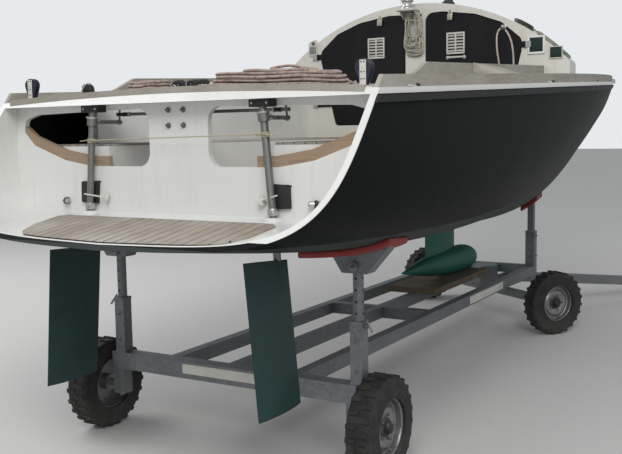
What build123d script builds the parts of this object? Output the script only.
"""Keelboat daysailer laid up on a galvanised yard trailer, about 9.6 m overall.

Frame: +Y to the bow, +X to starboard, +Z up, millimetres, floor at Z = 0 under the wheels.
Sizes are written from the middle of the trailer's rear axle; CENTRE moves the whole to the frame's origin.
"""
from build123d import *
from math import cos, radians, sin, tan
import os

# Driving sizes of the hull, in mm
CENTRE = (95.4, 3916.1)
WALL = 26.0
DECK_T = 24.0
LINER_T = 6.0
SHEER_AFT = 1785.0
SHEER_RISE = 0.0437
CROWN_RATIO = 0.033
WATERLINE_Z = 1150.0
GAP = 0.3

# Hull sections: station, keel height, three control points (x, z) of the side's curve, half beam at the sheer
SECTIONS = (
    (-960.0, 1135.0, (711.0, 1151.0), (1048.0, 1137.0), (977.0, 1412.0), 1016.0),
    (-130.0, 1037.5, (783.4, 1050.2), (1201.1, 1056.9), (1116.8, 1343.2), 1090.5),
    (700.0, 972.0, (761.0, 994.0), (1221.0, 1031.0), (1180.0, 1376.0), 1167.0),
    (2300.0, 885.0, (541.0, 935.0), (989.0, 1027.0), (1093.0, 1497.0), 1212.0),
    (3900.0, 828.0, (255.0, 893.0), (583.0, 1008.0), (792.0, 1484.0), 1013.0),
    (5500.0, 976.0, (101.0, 1051.0), (245.0, 1180.0), (485.0, 1584.0), 685.0),
    (7100.0, 1410.0, (26.0, 1460.0), (103.0, 1548.0), (219.0, 1770.0), 341.0),
    (8640.0, 2085.0, (6.0, 2092.0), (11.0, 2119.0), (15.0, 2120.0), 18.0),
)

# Reverse transom: rake line through two points of the side view
RAKE_TOP = (-400.0, 1800.0)
RAKE_FOOT = (-935.0, 1100.0)
TRANSOM_Y = (-352.0, -324.0)
PLATFORM_Z = (1230.5, 1165.2)
# White plate on the hull wall's cut end, and its lowest point
RIM_PLATE = 4.0
RIM_FOOT_Z = 1190.0
OPENING = ((171.0, 1449.0), (540.0, 1449.0), (720.0, 1478.0), (930.0, 1552.0), (1000.0, 1622.0), (986.0, 1682.0),
           (900.0, 1706.0), (171.0, 1722.0))
OPENING_FILLET = 30.0
OPENING_ROUND = 66.0
SILL_START = 430.0
SILL_T = 48.0
SILL_DEPTH = 25.0

# Teak of the swim platform: thickness and half its plan (x, y)
SLAT_T = 9.0
PLATFORM_PLAN = ((590.0, -484.0), (622.0, -510.0), (612.0, -680.0), (560.0, -790.0), (470.0, -860.0), (300.0, -930.0))

# Cockpit and cabin
COCKPIT_Y = (60.0, 2330.0)
COCKPIT_HALF = 880.0
FLOOR_Z = 1330.0
SEAT_Z = 1545.0
SEAT_FRONT = 470.0
COAMING_X, COAMING_T, COAMING_H = 894.0, 24.0, 118.0
MOULD_T = 18.0
# Sloping outboard seats: section (x, z) and extent along the boat
HELM_SEAT = ((918.0, 1700.0), (918.0, 1950.0), (1130.0, 1876.0), (1130.0, 1700.0))
HELM_SEAT_Y = (1000.0, 1430.0)
BERTH_X, BERTH_Z, SOLE_Z, PLY_T = 300.0, 1480.0, 1236.0, 14.0
BERTH_Y = (2356.0, 4700.0)
BULKHEAD_Y = (2330.0, 2356.0)
# Coachroof sections: station, half width, shoulder height, crown height
ROOF = (
    (2330.0, 1085.0, 2030.0, 2480.0),
    (3200.0, 900.0, 2070.0, 2450.0),
    (4200.0, 640.0, 2080.0, 2340.0),
    (5150.0, 330.0, 2070.0, 2170.0),
)
ROOF_T = 26.0
# Door opening seen from astern: corner (x, z) and its rounding
DOOR = ((76.0, 1640.0, 20.0), (76.0, 2408.0, 62.0), (205.0, 2412.0, 40.0), (440.0, 2378.0, 200.0), (625.0, 2310.0, 90.0),
        (768.0, 2190.0, 60.0), (766.0, 2110.0, 60.0), (650.0, 1640.0, 30.0))
DOOR_T = 16.0
DOOR_CLEAR = 6.0
HINGE_X, HINGE_Y, HINGE_H = 790.0, 2322.0, 40.0
HINGE_Z = (1800.0, 2150.0)
HINGE_LEAF = {1800.0: 140.0, 2150.0: 44.0}
# Louvre vents and padlocks on the doors
VENT_X, VENT_HALF, VENT_Z = 304.0, 66.0, (2115.0, 2262.0)
LOCK_X, LOCK_Z = 268.0, 2344.0
SIDES = (("port", -1), ("starboard", 1))

# Keel with torpedo bulb
FIN = (2488.0, 3047.0, 58.0)
FIN_TOP = 1120.0
BULB_TAIL_Y, BULB_NOSE_Y = 2060.0, 3515.0
BULB_R = 104.0
BULB_Z = 578.0
BULB_DROOP = 1.6
BULB_PROFILE = ((0.0, 0.0), (0.18, 0.42), (0.45, 0.86), (0.68, 1.0), (0.88, 0.86), (1.0, 0.0))

# Rudders: stock leans outwards below by STOCK_LEAN degrees
STOCK_TOP = (487.0, -387.0, 1738.0)
STOCK_BORE, STOCK_BORE_LENGTH = 18.5, 700.0
STOCK_LEAN = 5.1
STOCK_R = 17.0
BLADE_TOP = (696.0, 670.0)
BLADE_FOOT = 1335.0
BLADE_FWD, BLADE_AFT = 78.0, 258.0
BLADE_T = 38.0
# Arms and the rod that ties the two stocks: reach, heights below the stock's top, pin and eye
ARM_REACH = 190.0
ARM_DROP = (-84.0, -67.0)
PIN_TOP = -9.0
EYE_DROP, EYE_H = -38.0, 16.0
PIN_R, LOOSE_BORE = 5.0, 9.0

# Blocks on the aft deck: x, y, width, height, sheave radius
AFT_BLOCKS = (
    (-950.0, -330.0, 34.0, 100.0, 26.0),
    (950.0, -330.0, 34.0, 100.0, 26.0),
    (-28.0, -300.0, 30.0, 44.0, 20.0),
    (48.0, -292.0, 30.0, 44.0, 20.0),
    (112.0, -305.0, 30.0, 44.0, 20.0),
)

# Trailer
WHEEL_R = 244.0
TYRE_W = 130.0
RIM_R = 138.0
TRACK = 1684.0
BEAM_TOP = 431.0
CROSS_H, CROSS_W = 90.0, 80.0
RAIL_H, RAIL_W = 74.0, 60.0
RAIL_X = (-374.0, 0.0, 374.0)
RAIL_END = 3960.0
POST_X = TRACK / 2 - 124.0
CROSS_HALF = POST_X + 34.0
POST_SHIFT = 20.0
SLEEVE = 62.0
SLEEVE_TOP = 727.0
TUBE_R = 25.0
FRONT_POST_Y = 3890.0
FRONT_SLEEVE, FRONT_SLEEVE_TOP = 76.0, 727.0
STEER_Y = 3790.0
STEER_DEG = 34.0
FRONT_TRACK = TRACK + 76.0
HITCH_REACH, HITCH_Z = 320.0, 300.0
DROOP_DEG = 6.5
DRAWBAR = 2130.0
BAR = 80.0
# Tubes of the rear posts, and the bracket on each: outline from the post's axis, outboard positive
POST_FOOT, POST_HEAD = 480.0, 985.0
BRACKET = ((-64.0, 955.0), (64.0, 955.0), (277.0, 1200.0), (-220.0, 1200.0))
# Hull pads on the rear posts: thickness, half length, and the two boards' ends
PAD_T = 30.0
PAD_HALF = 95.0
PAD_ENDS = ((470.0, 682.0), (694.0, 945.0))
FRONT_PAD_T = 42.0

# Tyre tread
LUGS = 24
LUG_W, LUG_DEPTH = 22.0, 7.0

# Ropes lying on the aft deck, hung on the cabin's front and laid on the roof
ROPE_D = 13.0
HANK = (150.0, 870.0, -395.0, -205.0, 102.0)
HANK_ROUND = 34.0
COIL = (-200.0, -305.0, 118.0, 44.0, 48.0)
PILLAR_COIL = ((-72.0, 2420.0), (-74.0, 2300.0), (-52.0, 2170.0), (-12.0, 2108.0), (30.0, 2140.0), (66.0, 2260.0),
               (74.0, 2420.0))
ROOF_BUNDLE = (640.0, 1400.0, 2400.0, 2540.0, 2060.0, 2600.0)
DOOR_LOOP = ((604.0, 2268.0), (592.0, 2205.0), (601.0, 2122.0), (613.0, 2052.0), (618.0, 2012.0), (619.0, 1975.0),
             (628.0, 1948.0), (651.0, 1931.0), (679.0, 1931.0), (702.0, 1948.0), (711.0, 1975.0), (714.0, 2010.0),
             (715.0, 2050.0), (711.0, 2112.0), (698.0, 2182.0), (670.0, 2240.0))

os.makedirs("parts", exist_ok=True)
nodes = {}


def box(x0, x1, y0, y1, z0, z1):
    """Box between two corners."""
    return Pos((x0 + x1) / 2, (y0 + y1) / 2, (z0 + z1) / 2) * Box(abs(x1 - x0), abs(y1 - y0), abs(z1 - z0))


def rod(a, b, r):
    """Round bar of radius r from point a to point b."""
    line = Edge.make_line(a, b)
    return Solid.make_cylinder(r, line.length, Plane(origin=a, z_dir=Vector(*b) - Vector(*a)))


def stock_bore(s):
    """Bore through the stern for one rudder stock, along its leaning axis."""
    x, y, z = STOCK_TOP
    lean = radians(STOCK_LEAN)
    foot = (s * (x + STOCK_BORE_LENGTH * sin(lean)), y, z - STOCK_BORE_LENGTH * cos(lean))
    return rod((s * x, y, z), foot, STOCK_BORE)


def tube(points, r):
    """Round tube along straight runs joined by arcs as large as the runs allow."""
    pts = [Vector(*q) for q in points]
    radii = []
    for a, b, c in zip(pts, pts[1:], pts[2:]):
        half_turn = radians((b - a).get_angle(c - b)) / 2
        radii.append(0.45 * min((b - a).length, (c - b).length) / tan(half_turn))
    path = FilletPolyline(*pts, radius=radii)
    section = Plane(origin=pts[0], z_dir=pts[1] - pts[0]) * Circle(r)
    print("tube radii", [round(q) for q in radii])
    return sweep(section, path=path).solid()


def solids_over(shape, volume):
    """Solids of a cut's result that are larger than a volume, so slivers go."""
    return [q for q in shape.solids() if q.volume > volume]


def largest(shape):
    """Largest solid of a cut's result."""
    return max(shape.solids(), key=lambda q: q.volume)


def highest(shape):
    """Highest solid of a cut's result."""
    return max(shape.solids(), key=lambda q: q.center().Z)


def lowest(shape):
    """Lowest solid of a cut's result."""
    return min(shape.solids(), key=lambda q: q.center().Z)


def sheer(y):
    """Height of the sheer line at station y."""
    return SHEER_AFT + SHEER_RISE * y


def hull_section(row, inset, rise):
    """Closed wire of one hull section, inset by a wall, its sides carried straight up by rise above the edge."""
    y, keel, low, bilge, side, beam = row
    k = inset * beam / (2 * inset + beam) if inset > 0 else inset
    z_edge = sheer(y) - DECK_T
    curve = [(0.0, keel + k), (low[0] - 0.1 * k, low[1] + k), (bilge[0] - 0.8 * k, bilge[1] + 0.8 * k),
             (side[0] - k, side[1]), (beam - k, z_edge)]
    edges = [Bezier(*[(x, y, z) for x, z in curve])]
    top = z_edge + rise
    if rise:
        edges.append(Line((beam - k, y, z_edge), (beam - k, y, top)))
    edges.append(Line((beam - k, y, top), (k - beam, y, top)))
    if rise:
        edges.append(Line((k - beam, y, top), (k - beam, y, z_edge)))
    edges.append(Bezier(*[(-x, y, z) for x, z in reversed(curve)]))
    return Wire(edges)


def hull_loft(inset=0.0, rise=0.0):
    """Solid of the hull's form."""
    return Solid.make_loft([hull_section(row, inset, rise) for row in SECTIONS])


def deck_loft():
    """Deck plate: flat below on the hull's edge, crowned above."""
    wires = []
    for row in SECTIONS:
        y, beam, zs = row[0], row[5], sheer(row[0])
        crown = Bezier((beam, y, zs), (0, y, zs + 2 * beam * CROWN_RATIO), (-beam, y, zs))
        low = zs - DECK_T
        wires.append(Wire([crown, Line((-beam, y, zs), (-beam, y, low)), Line((-beam, y, low), (beam, y, low)),
                           Line((beam, y, low), (beam, y, zs))]))
    return Solid.make_loft(wires)


def roof_loft(inset, base_drop):
    """Solid under the coachroof's arch, reaching base_drop below the sheer."""
    wires = []
    for y, half, shoulder, crown in ROOF:
        w, low, sh = half - inset, sheer(y) - base_drop, shoulder - inset * 0.5
        peak = sh + (crown - inset - sh) * 4 / 3
        arch = Bezier((w, y, sh), (0.45 * w, y, peak), (-0.45 * w, y, peak), (-w, y, sh))
        wires.append(Wire([arch, Line((-w, y, sh), (-w, y, low)), Line((-w, y, low), (w, y, low)),
                           Line((w, y, low), (w, y, sh))]))
    return Solid.make_loft(wires)


def side_prism(points, x0, x1):
    """Prism of a side-view outline (y, z), from x0 to x1."""
    face = Face(Wire.make_polygon([(x0, y, z) for y, z in points], close=True))
    return Solid.extrude(face, Vector(x1 - x0, 0, 0))


def stern_prism(points, y0, y1, fillet_r=0.0):
    """Prism of an outline seen from astern (x, z), from y0 to y1."""
    face = Face(Wire.make_polygon([(x, y0, z) for x, z in points], close=True))
    if fillet_r:
        face = face.fillet_2d(fillet_r, face.vertices())
    return Solid.extrude(face, Vector(0, y1 - y0, 0))


def opening_prism(s):
    """Prism of one transom opening, larger rounding on its inner corners."""
    face = Face(Wire.make_polygon([(s * x, TRANSOM_Y[0] - 200, z) for x, z in OPENING], close=True))
    inner_x = OPENING[0][0] + 1
    face = face.fillet_2d(OPENING_FILLET, [v for v in face.vertices() if abs(v.X) > inner_x])
    face = face.fillet_2d(OPENING_ROUND, [v for v in face.vertices() if abs(v.X) < inner_x])
    return Solid.extrude(face, Vector(0, 400, 0))


def door_prism(s, shrink, y0, y1):
    """Prism of one door's outline, drawn in by shrink on every side."""
    face = Face(Wire.make_polygon([(s * x, y0, z) for x, z, r in DOOR], close=True))
    for x, z, r in DOOR:
        corner = [v for v in face.vertices() if abs(v.X - s * x) < 0.01 and abs(v.Z - z) < 0.01]
        face = face.fillet_2d(r, corner)
    if shrink:
        face = Face(face.outer_wire().offset_2d(-shrink))
    return Solid.extrude(face, Vector(0, y1 - y0, 0))


def sheer_slab(z_low, z_high, y0, y1):
    """Slab between two planes parallel to the sheer line."""
    return side_prism([(y0, sheer(y0) + z_low), (y1, sheer(y1) + z_low), (y1, sheer(y1) + z_high),
                       (y0, sheer(y0) + z_high)], -1400, 1400)


def sweep_x(z0, z1):
    """Slab over the whole boat between two heights."""
    return box(-1500, 1500, -1500, 9200, z0, z1)


# Volumes the pieces are cut from
rake_dy = (RAKE_FOOT[0] - RAKE_TOP[0]) / (RAKE_TOP[1] - RAKE_FOOT[1])
rake_high = (RAKE_TOP[0] - rake_dy * 300, RAKE_TOP[1] + 300)
rake_low = (RAKE_FOOT[0] + rake_dy * 300, RAKE_FOOT[1] - 300)
astern = side_prism([rake_high, rake_low, (-1800, rake_low[1]), (-1800, rake_high[1])], -1400, 1400)

outer = hull_loft()
hollow_up = hull_loft(WALL, 90.0)
hollow = hollow_up & sheer_slab(-1400, -DECK_T, -1000, 8700)
deck_full = deck_loft()
roof_form = roof_loft(0.0, 60.0)
roof_hollow = roof_loft(ROOF_T, 160.0)

# Keel fin and bulb
fin_y0, fin_y1, fin_t = FIN
fin_arc = [ThreePointArc((0, fin_y0, 0), (fin_t / 2, (fin_y0 + fin_y1) / 2, 0), (0, fin_y1, 0)),
           ThreePointArc((0, fin_y1, 0), (-fin_t / 2, (fin_y0 + fin_y1) / 2, 0), (0, fin_y0, 0))]
fin = Pos(0, 0, BULB_Z) * Solid.extrude(Face(Wire(fin_arc)), Vector(0, 0, FIN_TOP - BULB_Z))
bulb_len = BULB_NOSE_Y - BULB_TAIL_Y
bulb_pts = [(BULB_TAIL_Y + bulb_len * s, BULB_R * r) for s, r in BULB_PROFILE]
bulb_curve = Spline(*[(0, y, BULB_Z + r) for y, r in bulb_pts])
bulb_axis = Line((0, BULB_NOSE_Y, BULB_Z), (0, BULB_TAIL_Y, BULB_Z))
bulb = Solid.revolve(Face(Wire([bulb_curve, bulb_axis])), 360, Axis((0, 0, BULB_Z), (0, 1, 0)))
bulb_mid = (BULB_TAIL_Y + BULB_NOSE_Y) / 2
bulb = Pos(0, bulb_mid, BULB_Z) * (Rot(-BULB_DROOP, 0, 0) * (Pos(0, -bulb_mid, -BULB_Z) * bulb))
nodes["keel_bulb"] = bulb
nodes["keel_fin"] = fin - bulb

# Hull shell, split at the antifouling line
shell = outer - hollow_up - astern - fin
for side, s in SIDES:
    shell = shell - stock_bore(s)
rim = (shell & (Pos(0, RIM_PLATE, 0) * astern)) & sweep_x(RIM_FOOT_Z, 2600)
shell = shell - rim
nodes["hull_topsides"] = shell - sweep_x(0, WATERLINE_Z)
nodes["hull_bottom"] = shell & sweep_x(0, WATERLINE_Z)

# Deck with the cockpit and cabin openings
deck = deck_full - astern - box(-COCKPIT_HALF, COCKPIT_HALF, *COCKPIT_Y, 1500, 2400)
deck = deck - roof_hollow
nodes["deck"] = deck

# Transom wall with two openings, and its stern beam edge
wall = (hollow & box(-1400, 1400, *TRANSOM_Y, 1120, 2000)) - astern
for side, s in SIDES:
    wall = wall - opening_prism(s)
nodes["transom_wall"] = wall

sills = []
lower_edge = [(SILL_START, OPENING[0][1])] + list(OPENING[1:5])
for side, s in SIDES:
    band = [(s * x, z - 2) for x, z in lower_edge] + [(s * (OPENING[4][0] - 14), OPENING[4][1] + 26)]
    band = band + [(s * (x - 0.2 * SILL_T), z + SILL_T) for x, z in reversed(lower_edge[1:-1])]
    band = band + [(s * SILL_START, OPENING[0][1] + SILL_T)]
    low = stern_prism(band, TRANSOM_Y[0] + 3, TRANSOM_Y[0] + 3 + SILL_DEPTH)
    sills.append(largest(low & opening_prism(s)))
nodes["transom_sills"] = sills

# White inner skin of the stern, with its platform
skin = (hollow & box(-1400, 1400, -1200, TRANSOM_Y[0], 1000, 1800)) - hull_loft(WALL + LINER_T, 90.0)
slope = (PLATFORM_Z[0] - PLATFORM_Z[1]) / (TRANSOM_Y[0] + 800.0)
step = side_prism([(TRANSOM_Y[0], PLATFORM_Z[0]), (-900, PLATFORM_Z[0] - slope * (TRANSOM_Y[0] + 900)),
                   (-900, 1000), (TRANSOM_Y[0], 1000)], -1200, 1200)
platform = (hollow & step) - astern
skin = largest(skin)
stern_skin = solids_over(Compound((skin - step).solids()) - astern, 1e4) + solids_over(rim, 1e3)
for side, s in SIDES:
    platform = platform - stock_bore(s)
nodes["stern_skin"] = stern_skin
nodes["swim_platform"] = platform

slab_y = (PLATFORM_PLAN[0][1], PLATFORM_PLAN[-1][1] - 10)
slab_z = [PLATFORM_Z[0] - slope * (TRANSOM_Y[0] - y) for y in slab_y]
slab = side_prism([(slab_y[0], slab_z[0]), (slab_y[1], slab_z[1]), (slab_y[1], slab_z[1] + SLAT_T),
                   (slab_y[0], slab_z[0] + SLAT_T)], -1200, 1200)
half_plan = [(x, y, 1000) for x, y in PLATFORM_PLAN]
plan = Face(Wire.make_polygon(half_plan + [(-x, y, z) for x, y, z in reversed(half_plan)], close=True))
slab = (slab & Solid.extrude(plan, Vector(0, 0, 400)) & hull_loft(WALL + 12)) - (Pos(0, 10, 0) * astern)
nodes["platform_teak"] = largest(slab)

# Cockpit moulding: floor, seat fronts, seats and sides
mould_pts = [(0, FLOOR_Z - MOULD_T), (SEAT_FRONT, FLOOR_Z - MOULD_T), (SEAT_FRONT, SEAT_Z - MOULD_T),
             (1200, SEAT_Z - MOULD_T), (1200, SEAT_Z), (SEAT_FRONT - MOULD_T, SEAT_Z),
             (SEAT_FRONT - MOULD_T, FLOOR_Z), (0, FLOOR_Z)]
mould = None
for side, s in SIDES:
    half = stern_prism([(s * x, z) for x, z in mould_pts], TRANSOM_Y[1], BULKHEAD_Y[0])
    rail = box(s * (COCKPIT_HALF + 4), s * (COCKPIT_HALF + 4 + MOULD_T), COCKPIT_Y[0], BULKHEAD_Y[0], SEAT_Z, 2000)
    half = half + (rail & hollow)
    half = half + box(s * (SEAT_FRONT - MOULD_T), s * 1200, TRANSOM_Y[1], TRANSOM_Y[1] + MOULD_T, FLOOR_Z - MOULD_T,
                      SEAT_Z)
    mould = half if mould is None else mould + half
mould = mould & hollow
nodes["cockpit_moulding"] = mould

teak = [box(-SEAT_FRONT + 40, SEAT_FRONT - 40, TRANSOM_Y[1] + 12, BULKHEAD_Y[0] - 20, FLOOR_Z, FLOOR_Z + 10)]
for side, s in SIDES:
    x0, x1 = SEAT_FRONT + 6, COCKPIT_HALF - 6
    teak.append(box(s * x0, s * x1, COCKPIT_Y[0] - 330, BULKHEAD_Y[0] - 20, SEAT_Z, SEAT_Z + 10))
nodes["cockpit_teak"] = teak

# Toe rail, rubbing strake and coamings
toe = (hull_loft(7.0, 130.0) & sheer_slab(-4, 52, -600, 8420)) - hull_loft(29.0, 130.0)
toe = Compound(toe.solids()) - deck_full - astern
strake = (hull_loft(-12.0, 40.0) & sheer_slab(-58, -28, -700, 8600)) - outer
nodes["toe_rail"] = solids_over(toe, 1e5)
nodes["rubbing_strake"] = solids_over(Compound(strake.solids()) - astern, 1e5)

coaming, helm_seats = [], []
coaming_side = [(204, 1700), (204, sheer(204) + 48), (389, sheer(389) + COAMING_H), (2328, sheer(2328) + COAMING_H),
                (2328, 1700)]
for side, s in SIDES:
    board = side_prism(coaming_side, s * COAMING_X, s * (COAMING_X + COAMING_T))
    coaming.append(highest(board - deck_full - mould))
    seat = stern_prism([(s * x, z) for x, z in HELM_SEAT], *HELM_SEAT_Y)
    helm_seats.append(highest(seat - deck_full))
nodes["cockpit_coamings"] = coaming
nodes["helm_seats"] = helm_seats

# Coachroof, bulkhead and doors
roof = (roof_form - roof_hollow) - outer - deck_full - box(-1400, 1400, 0, BULKHEAD_Y[1], 0, 3000)
nodes["coachroof"] = max(roof.solids(), key=lambda q: q.volume)
bulk = (roof_form & box(-1400, 1400, *BULKHEAD_Y, 1700, 2600)) + (hollow & box(-1400, 1400, *BULKHEAD_Y, 1200, 1900))
bulk = bulk - (deck_full - roof_hollow) - box(-1400, 1400, 0, 9000, 0, FLOOR_Z - MOULD_T - 40)
for side, s in SIDES:
    bulk = bulk - door_prism(s, 0.0, BULKHEAD_Y[0] - 60, BULKHEAD_Y[1] + 60)
    nodes[f"door_{side}"] = door_prism(s, DOOR_CLEAR, BULKHEAD_Y[0] - 2, BULKHEAD_Y[0] - 2 + DOOR_T)
nodes["cabin_bulkhead"] = bulk

# Louvre vents and hasps on the doors, hinges on their outer edges
for side, s in SIDES:
    face_y = BULKHEAD_Y[0] - 2
    vx, (vent_low, vent_high) = s * VENT_X, VENT_Z
    vent = box(vx - VENT_HALF, vx + VENT_HALF, face_y - 8, face_y, vent_low, vent_high)
    for col in (-1, 1):
        for i in range(6):
            x, z = vx + col * VENT_HALF / 2, vent_low + 18 + i * 22
            vent = vent - box(x - 25, x + 25, face_y - 9, face_y - 4, z, z + 9)
    nodes[f"vent_{side}"] = vent
    hasp = box(s * LOCK_X - 12, s * LOCK_X + 12, face_y - 6, face_y, LOCK_Z + 4, LOCK_Z + 48)
    lock = box(s * LOCK_X - 19, s * LOCK_X + 19, face_y - 26, face_y - 6, LOCK_Z, LOCK_Z + 42)
    shackle = Cylinder(17, 7) - Cylinder(10, 7)
    nodes[f"hasp_{side}"] = hasp + lock + (Pos(s * LOCK_X, face_y - 16, LOCK_Z + 54) * (Rot(90, 0, 0) * shackle))

# Door hinges: barrels on the leaves, lugs on the bulkhead
lugs = []
for side, s in SIDES:
    for z in HINGE_Z:
        low, high = z - HINGE_H / 2, z + HINGE_H / 2
        barrel = Pos(s * HINGE_X, HINGE_Y, z) * Cylinder(6, HINGE_H)
        strap = box(s * (HINGE_X - HINGE_LEAF[z]), s * HINGE_X, HINGE_Y + 2, BULKHEAD_Y[0] - 2, low, high)
        nodes[f"door_{side}"] = nodes[f"door_{side}"] + barrel + strap
        lugs.append(box(s * (HINGE_X + 6 + GAP), s * (HINGE_X + 42), HINGE_Y - 6, BULKHEAD_Y[0], low, high))
nodes["door_hinges"] = lugs

# Cabin sole and berths
berth_pts = [(0, SOLE_Z), (BERTH_X + PLY_T, SOLE_Z), (BERTH_X + PLY_T, BERTH_Z), (1200, BERTH_Z), (1200, BERTH_Z + PLY_T),
             (BERTH_X, BERTH_Z + PLY_T), (BERTH_X, SOLE_Z + PLY_T), (0, SOLE_Z + PLY_T)]
berths = None
for side, s in SIDES:
    half = stern_prism([(s * x, z) for x, z in berth_pts], *BERTH_Y)
    berths = half if berths is None else berths + half
nodes["cabin_berths"] = berths & hollow

# Foredeck and roof fittings
mast_y, step_half = (2800.0, 3020.0), 130.0
roof_z = ROOF[0][3] + (ROOF[1][3] - ROOF[0][3]) * (mast_y[1] - ROOF[0][0]) / (ROOF[1][0] - ROOF[0][0])
nodes["mast_step"] = box(-step_half, step_half, *mast_y, roof_z - 60, roof_z + 22) - roof_form
hatch_y = 6050.0
hatch = box(-235, 235, hatch_y - 235, hatch_y + 235, 2000, sheer(hatch_y) + 60)
nodes["fore_hatch"] = hatch - deck_full - outer - box(-300, 300, 5700, 6400, 0, sheer(hatch_y) - 20)
stem_y = 8560.0
stem = box(-26, 26, stem_y - 110, 8745, sheer(stem_y) + 2, sheer(stem_y) + 26) - deck_full - outer
nodes["stem_fitting"] = largest(stem)

# Winch on its shelf over the cabin's pillar, and a roof organiser beside it
winch_x, shelf_z = -34.0, 2424.0
shelf = box(winch_x - 66, winch_x + 70, 2215, BULKHEAD_Y[0], shelf_z, shelf_z + 14)
drum = Cylinder(34, 70) + (Pos(0, 0, 40) * Cylinder(46, 10)) + (Pos(0, 0, -30) * Cylinder(46, 10))
organiser = highest(box(190, 262, 2345, 2425, 2400, 2496) - roof_form)
nodes["winches"] = [shelf + (Pos(winch_x, 2268, shelf_z + 49) * drum), organiser]

# Rudders
bearings, eye_at = [], {}
for side, s in SIDES:
    lean = -s * STOCK_LEAN
    place = Location((s * STOCK_TOP[0], STOCK_TOP[1], STOCK_TOP[2]), (0, lean, 0))
    reach = BLADE_TOP[0] + 60
    stock = Pos(0, 0, -reach) * Cylinder(STOCK_R, reach, align=(Align.CENTER, Align.CENTER, Align.MIN))
    thickest = (BLADE_FWD - BLADE_AFT) / 2 + 30
    arcs = [ThreePointArc((0, BLADE_FWD, 0), (BLADE_T / 2, thickest, 0), (0, -BLADE_AFT, 0)),
            ThreePointArc((0, -BLADE_AFT, 0), (-BLADE_T / 2, thickest, 0), (0, BLADE_FWD, 0))]
    blade = Pos(0, 0, -BLADE_FOOT) * Solid.extrude(Face(Wire(arcs)), Vector(0, 0, BLADE_FOOT - min(BLADE_TOP)))
    blade = blade & side_prism([(BLADE_FWD, -BLADE_TOP[0]), (-BLADE_AFT, -BLADE_TOP[1]),
                                (-BLADE_AFT, -BLADE_FOOT), (BLADE_FWD, -BLADE_FOOT)], -BLADE_T, BLADE_T)
    collar = Pos(0, 0, sum(ARM_DROP) / 2) * Cylinder(25, 34)
    arm = box(-9, 9, 20, ARM_REACH, *ARM_DROP) + (Pos(0, ARM_REACH, sum(ARM_DROP) / 2) * Cylinder(14, 17))
    pin = Pos(0, ARM_REACH, (ARM_DROP[0] + PIN_TOP) / 2) * Cylinder(PIN_R, PIN_TOP - ARM_DROP[0])
    nodes[f"rudder_{side}"] = place * (blade - stock)
    nodes[f"stock_{side}"] = place * (stock + collar + arm + pin)
    x_at = s * STOCK_TOP[0]
    bearing = box(x_at - 52, x_at + 52, STOCK_TOP[1] - 26, TRANSOM_Y[0], 1708, 1741)
    bearings.append(bearing - (place * (Pos(0, 0, -60) * Cylinder(STOCK_R + 1, 200))) - astern)
    eye_at[side] = (place * Pos(0, ARM_REACH, EYE_DROP)).position
    if side == "port":
        port_eye = place * (Pos(0, ARM_REACH, EYE_DROP) * (Cylinder(15, EYE_H) - Cylinder(PIN_R + GAP, EYE_H)))
nodes["rudder_bearings"] = bearings

# Rod that ties the two arms: a close eye on the port pin, a loose one on the starboard pin
a, b = eye_at["port"], eye_at["starboard"]
loose_eye = Pos(*b) * (Cylinder(19, EYE_H) - Cylinder(LOOSE_BORE, EYE_H))
tie = rod((a.X + 12, a.Y, a.Z), (b.X - 15, b.Y, b.Z), 7.5)
nodes["tie_rod"] = tie + loose_eye + port_eye

# Blocks that stand on the aft deck, and the small ones beside the pillar's line
blocks = []
for x, y, w, h, r in AFT_BLOCKS:
    base = sheer(y) + 20
    cheek = Pos(x, y, base + h - r) * (Rot(0, 90, 0) * Cylinder(r, w))
    post = box(x - 10, x + 10, y - 14, y + 14, base - 60, base + h - r)
    blocks.append(highest(cheek + post - deck_full))
nodes["aft_blocks"] = blocks

# Ropes: the shapes that the hank, the coils and the roof bundle take up
x0, x1, y0, y1, h = HANK
hank = box(x0, x1, y0, y1, 1700, sheer(y0) + 10 + h)
hank = fillet(hank.edges().filter_by(Axis.Z), 2 * HANK_ROUND)
hank = fillet(hank.faces().sort_by(Axis.Z)[-1].edges(), HANK_ROUND)
nodes["rope_hank"] = highest(hank - deck_full)
x, y, r, r_in, h = COIL
coil_z = sheer(y) + 2 * CROWN_RATIO * 400
nodes["rope_coil"] = highest(Pos(x, y, coil_z + h - 75) * (Cylinder(r, 150) - Cylinder(r_in, 150)) - deck_full)
nodes["rope_pillar"] = stern_prism(PILLAR_COIL, BULKHEAD_Y[0] - 46, BULKHEAD_Y[0], 16)
bundle = roof_loft(-34.0, 60.0) & box(*ROOF_BUNDLE)
nodes["rope_roof"] = highest(bundle - roof_form - deck_full)
rope_y = BULKHEAD_Y[0] - 2 - ROPE_D / 2 - GAP
nodes["rope_loop"] = tube([(x, rope_y, z) for x, z in DOOR_LOOP], ROPE_D / 2)

# Timber under the bulb
nodes["keel_timber"] = box(-180, 180, 2250, 3320, BEAM_TOP, BULB_Z - BULB_R) - bulb

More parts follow.
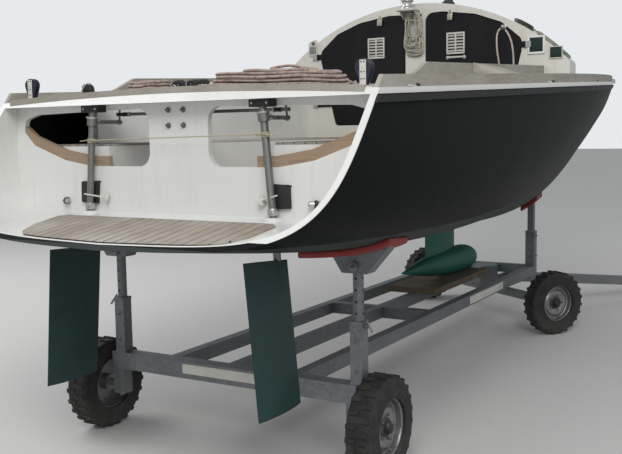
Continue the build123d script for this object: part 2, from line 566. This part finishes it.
# Trailer frame, one welded piece
frame = box(-CROSS_HALF, CROSS_HALF, -CROSS_W / 2, CROSS_W / 2, BEAM_TOP - CROSS_H, BEAM_TOP)
for x in RAIL_X:
    frame = frame + box(x - RAIL_W / 2, x + RAIL_W / 2, 0, RAIL_END, BEAM_TOP - RAIL_H, BEAM_TOP)
frame = frame + box(-404, 404, RAIL_END - 60, RAIL_END, BEAM_TOP - RAIL_H, BEAM_TOP)
frame = frame + box(-404, 404, 1700, 1760, BEAM_TOP - RAIL_H, BEAM_TOP)
for side, s in SIDES:
    frame = frame + box(s * (POST_X - 35), s * (POST_X + 35), -35, 35, WHEEL_R - 45, BEAM_TOP - CROSS_H)
    frame = frame + rod((s * (POST_X + 30), 0, WHEEL_R), (s * (TRACK / 2 + 10), 0, WHEEL_R), 17)
    x, half = s * POST_X + POST_SHIFT, SLEEVE / 2
    sleeve = box(x - half, x + half, -half, half, BEAM_TOP, SLEEVE_TOP)
    bore = Pos(x, 0, (BEAM_TOP + SLEEVE_TOP) / 2 + 5) * Cylinder(TUBE_R, SLEEVE_TOP - BEAM_TOP)
    frame = frame + (sleeve - bore)
    half = FRONT_SLEEVE / 2
    frame = frame + box(s * (RAIL_X[2] - half), s * (RAIL_X[2] + half), FRONT_POST_Y - half, FRONT_POST_Y + half, BEAM_TOP - 10,
                        FRONT_SLEEVE_TOP)
frame = frame + (Pos(0, STEER_Y, BEAM_TOP - (RAIL_H + 12) / 2) * Cylinder(110, RAIL_H + 12))
nodes["trailer_frame"] = frame

# Posts with brackets and red pads under the hull
lowered = {t: Pos(0, 0, -t) * outer for t in (PAD_T, FRONT_PAD_T)}
posts, pads, front_posts, front_pads = [], [], [], []
for side, s in SIDES:
    x = s * POST_X + POST_SHIFT
    post = Pos(x, 0, (POST_FOOT + POST_HEAD) / 2) * Cylinder(TUBE_R - GAP, POST_HEAD - POST_FOOT)
    bracket = stern_prism([(x + s * dx, z) for dx, z in BRACKET], -42, 42)
    boss = Pos(x, -46, POST_HEAD) * (Rot(90, 0, 0) * Cylinder(26, 16))
    posts.append(post + boss + lowest(bracket - lowered[PAD_T]))
    for x0, x1 in PAD_ENDS:
        board = box(s * x0, s * x1, -PAD_HALF, PAD_HALF, 950, 1250) & lowered[PAD_T]
        pads.append(lowest(board - outer))
    fx = s * RAIL_X[2]
    leg = box(fx - 25, fx + 25, FRONT_POST_Y - 25, FRONT_POST_Y + 25, FRONT_SLEEVE_TOP, 1250)
    front_posts.append(lowest(leg - lowered[FRONT_PAD_T]))
    cushion = box(fx - 70, fx + 70, FRONT_POST_Y - 80, FRONT_POST_Y + 80, 780, 1300) & lowered[FRONT_PAD_T]
    front_pads.append(lowest(cushion - outer))
nodes["posts"], nodes["hull_pads"] = posts, pads
nodes["front_posts"], nodes["front_pads"] = front_posts, front_pads


def treaded_tyre():
    """Tyre about the Z axis with two staggered rows of tread blocks."""
    body = Cylinder(WHEEL_R - LUG_DEPTH, TYRE_W) - Cylinder(RIM_R, TYRE_W)
    body = fillet(body.edges().filter_by(GeomType.CIRCLE).group_by(SortBy.RADIUS)[-1], 24)
    step = 360.0 / LUGS
    lugs = []
    for row, turn in ((-1, 0.0), (1, step / 2)):
        for i in range(LUGS):
            lug = box(WHEEL_R - 16, WHEEL_R, -LUG_W / 2, LUG_W / 2, row * 4, row * (TYRE_W / 2 - 9))
            lugs.append(Rot(0, 0, turn + i * step) * lug)
    return body.fuse(*lugs)


tyre_form = treaded_tyre()


def wheel(half_track, s):
    """Tyre and rim on an axle along X at hub height, s pointing outboard."""
    place = Pos(s * half_track, 0, WHEEL_R) * Rot(0, 90, 0)
    rim = Cylinder(RIM_R - GAP, TYRE_W - 30) - Cylinder(RIM_R - 6, TYRE_W)
    disc = Pos(0, 0, s * 12) * (Cylinder(RIM_R - 5, 8) - Cylinder(18, 8))
    boss = Cylinder(44, 70) - Cylinder(18, 70)
    return place * tyre_form, place * (rim + disc + boss)


steer = Location((0, STEER_Y, 0), (0, 0, -STEER_DEG))
for side, s in SIDES:
    nodes[f"rear_tyre_{side}"], nodes[f"rear_rim_{side}"] = wheel(TRACK / 2, s)
    tyre, rim = wheel(FRONT_TRACK / 2, s)
    nodes[f"front_tyre_{side}"], nodes[f"front_rim_{side}"] = steer * tyre, steer * rim

# Steered front axle with its turntable and hitch ears, and the drawbar
beam_half, beam_x = 30.0, FRONT_TRACK / 2 - 115
table_top = BEAM_TOP - RAIL_H - 12 - GAP
axle = box(-beam_x, beam_x, -beam_half, beam_half, WHEEL_R - beam_half, WHEEL_R + beam_half)
for s in (-1, 1):
    axle = axle + rod((s * (beam_x - 20), 0, WHEEL_R), (s * (FRONT_TRACK / 2 + 10), 0, WHEEL_R), 17)
    ear = side_prism([(0, 222), (120, 222), (HITCH_REACH + 26, HITCH_Z - 25), (HITCH_REACH + 26, HITCH_Z + 25),
                      (HITCH_REACH - 40, HITCH_Z + 25), (0, 266)], s * 84, s * 104)
    axle = axle + (ear - (Pos(s * 94, HITCH_REACH, HITCH_Z) * (Rot(0, 90, 0) * Cylinder(9, 60))))
axle = axle + (Pos(0, 0, (WHEEL_R + beam_half + table_top) / 2) * Cylinder(100, table_top - WHEEL_R - beam_half))
nodes["front_axle"] = steer * axle

half = BAR / 2
bar = box(-80, 80, -26, 26, -20, 20) + box(-half, half, 20, DRAWBAR, -half, half)
bar = bar + (Rot(0, 90, 0) * Cylinder(8, 216)) + (Pos(0, DRAWBAR + 30, 0) * (Cylinder(45, 24) - Cylinder(21, 24)))
hinge = Location((0, HITCH_REACH, HITCH_Z), (-DROOP_DEG, 0, 0))
nodes["drawbar"] = steer * (hinge * bar)

for name, shape in nodes.items():
    shapes = shape if isinstance(shape, list) else [shape]
    solids = [Pos(-CENTRE[0], -CENTRE[1], 0) * q for p in shapes for q in p.solids()]
    shape = solids[0] if len(solids) == 1 else Compound(solids)
    export_step(shape, f"parts/{name}.step")
    bb = shape.bounding_box()
    print(f"{name:24s} {len(solids):3d}", *[round(v, 1) for v in (*bb.min, *bb.max)])
